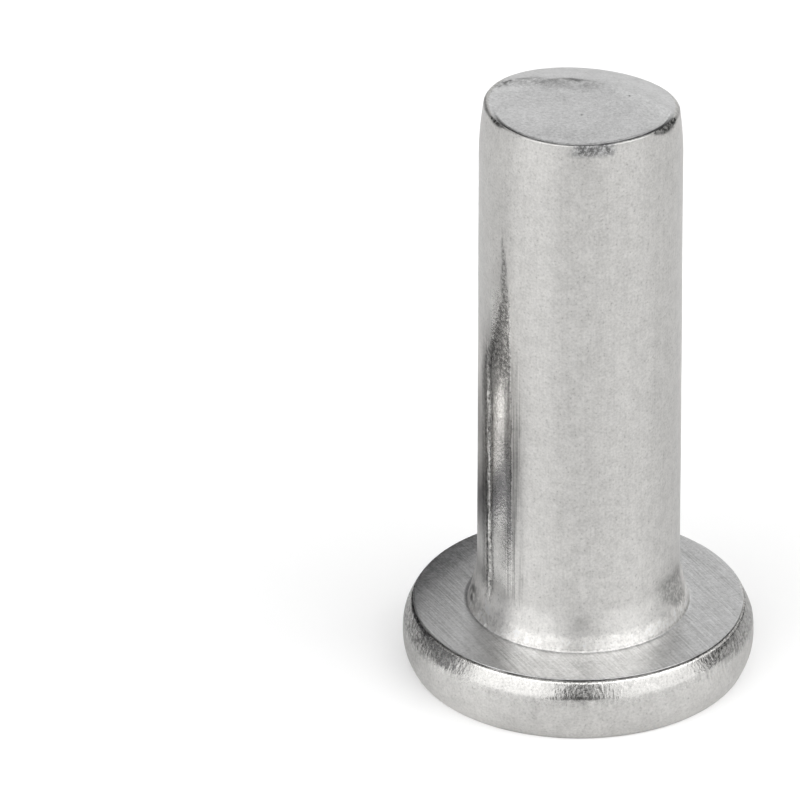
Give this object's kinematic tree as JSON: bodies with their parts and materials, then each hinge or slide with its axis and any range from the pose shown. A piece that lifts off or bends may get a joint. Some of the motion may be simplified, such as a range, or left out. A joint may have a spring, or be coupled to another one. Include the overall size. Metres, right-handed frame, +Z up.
{
  "type": "flat head rivet",
  "caption": "Solid flat head rivet: plain round shank with a fine root fillet, a flat round head with a swelled rim, and a sheared end that is rolled over on one side.",
  "frame": {"origin": "centre of the head's flat face, which the rivet stands on", "axes": "+Z up the shank's axis from the head to the sheared end; -Y towards the crisp shear lip"},
  "size_m": [0.0086, 0.0086, 0.0156],
  "materials": {
    "aluminium": "as-headed satin aluminium, fine matte grain, faint draw lines on the shank"
  },
  "bodies": {
    "root": {"rivet": "aluminium"}
  },
  "joints": []
}
